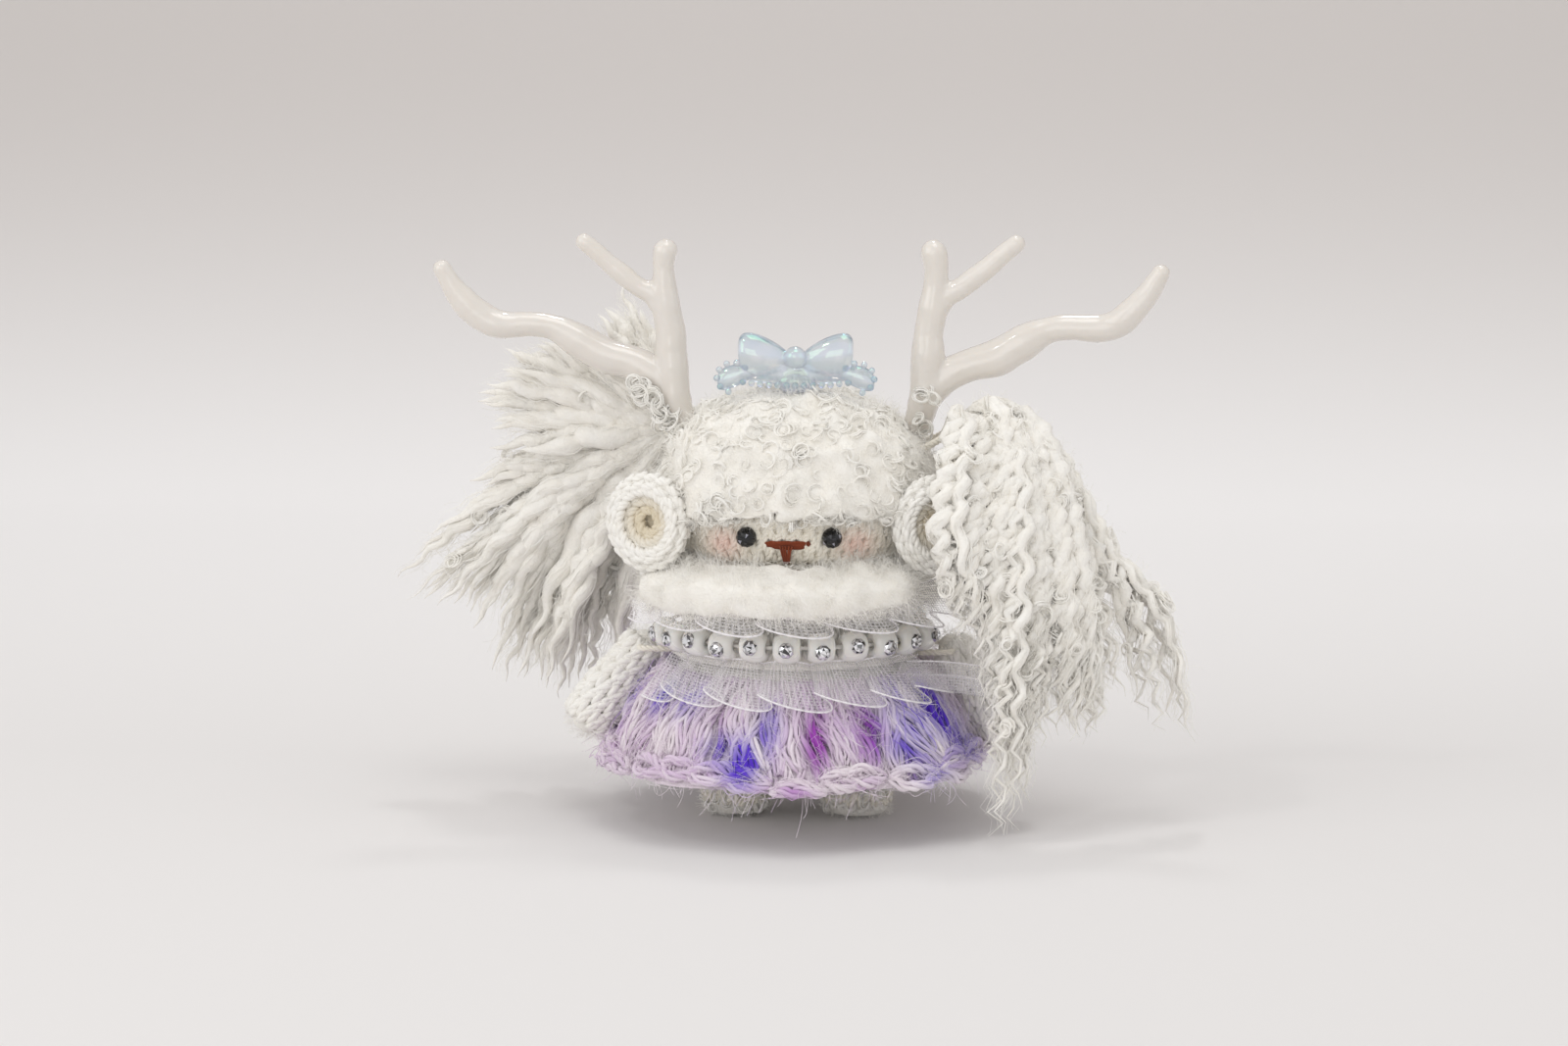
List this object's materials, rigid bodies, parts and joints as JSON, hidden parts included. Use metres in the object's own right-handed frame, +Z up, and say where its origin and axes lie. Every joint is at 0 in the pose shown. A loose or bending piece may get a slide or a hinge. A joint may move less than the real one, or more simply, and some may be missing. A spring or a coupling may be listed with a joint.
{
  "type": "crochet lamb toy",
  "caption": "Standing crochet lamb toy with branching antlers, curly wool pigtails, cupped ears, a bow bead, ruffled collar, bead necklace and flared mohair skirt.",
  "frame": {"origin": "centre of the bounding box's base, on the plane of the soles", "axes": "+X to the viewer's right, +Y towards the lamb's back, +Z up; the face looks along -Y"},
  "size_m": [0.1654, 0.0855, 0.1176],
  "materials": {
    "wool": "matte",
    "face_yarn": "matte",
    "filling": "matte",
    "thread": "matte",
    "brown_thread": "satin",
    "eye_black": "gloss",
    "antler_white": "gloss",
    "bow_clear": "gloss",
    "mohair": "matte",
    "organza": "satin",
    "milky_bead": "gloss",
    "clear_stone": "gloss"
  },
  "bodies": {
    "toy": {"bead_01": "milky_bead", "bead_02": "milky_bead", "bead_03": "milky_bead", "bead_04": "milky_bead", "bead_05": "milky_bead", "bead_06": "milky_bead", "bead_07": "milky_bead", "bead_08": "milky_bead", "bead_09": "milky_bead", "bead_10": "milky_bead", "bead_11": "milky_bead", "body_cover": "wool", "body_stuffing": "filling", "fluffy_collar": "wool", "hair_bow": "bow_clear", "head_cover": "face_yarn", "head_stuffing": "filling", "left_antler": "antler_white", "left_ear": "face_yarn", "left_eye_bead": "eye_black", "left_leg": "face_yarn", "left_pigtail_tie": "thread", "left_shoulder_loop": "thread", "lower_ruffle": "organza", "neck_seam": "thread", "necklace_back_strand": "milky_bead", "nose_stitches": "brown_thread", "ribbon_tail": "organza", "right_antler": "antler_white", "right_ear": "face_yarn", "right_eye_bead": "eye_black", "right_leg": "face_yarn", "right_pigtail_tie": "thread", "right_shoulder_loop": "thread", "skirt": "mohair", "stone_01": "clear_stone", "stone_02": "clear_stone", "stone_03": "clear_stone", "stone_04": "clear_stone", "stone_05": "clear_stone", "stone_06": "clear_stone", "stone_07": "clear_stone", "stone_08": "clear_stone", "stone_09": "clear_stone", "stone_10": "clear_stone", "stone_11": "clear_stone", "upper_ruffle": "organza", "wool_cap": "wool", "yoke_band": "face_yarn"},
    "left_arm": {"left_arm": "face_yarn"},
    "right_arm": {"right_arm": "face_yarn"},
    "left_pigtail": {"left_pigtail": "wool"},
    "right_pigtail": {"right_pigtail": "wool"}
  },
  "joints": [
    {"name": "left_arm_lift", "type": "hinge", "parent": "toy", "child": "left_arm", "pos_m": [-0.03172, -0.001, 0.0347], "axis": [0, 1, 0], "range_deg": [0, 60]},
    {"name": "right_arm_lift", "type": "hinge", "parent": "toy", "child": "right_arm", "pos_m": [0.03172, -0.001, 0.0347], "axis": [0, -1, 0], "range_deg": [0, 60]},
    {"name": "left_pigtail_swing", "type": "hinge", "parent": "toy", "child": "left_pigtail", "pos_m": [-0.02765, 0.011, 0.0777], "axis": [0, 1, 0], "range_deg": [-10, 20], "stiffness_Nm_per_rad": 0.05},
    {"name": "right_pigtail_swing", "type": "hinge", "parent": "toy", "child": "right_pigtail", "pos_m": [0.02938, 0.003, 0.0777], "axis": [0, -1, 0], "range_deg": [0, 20]}
  ]
}
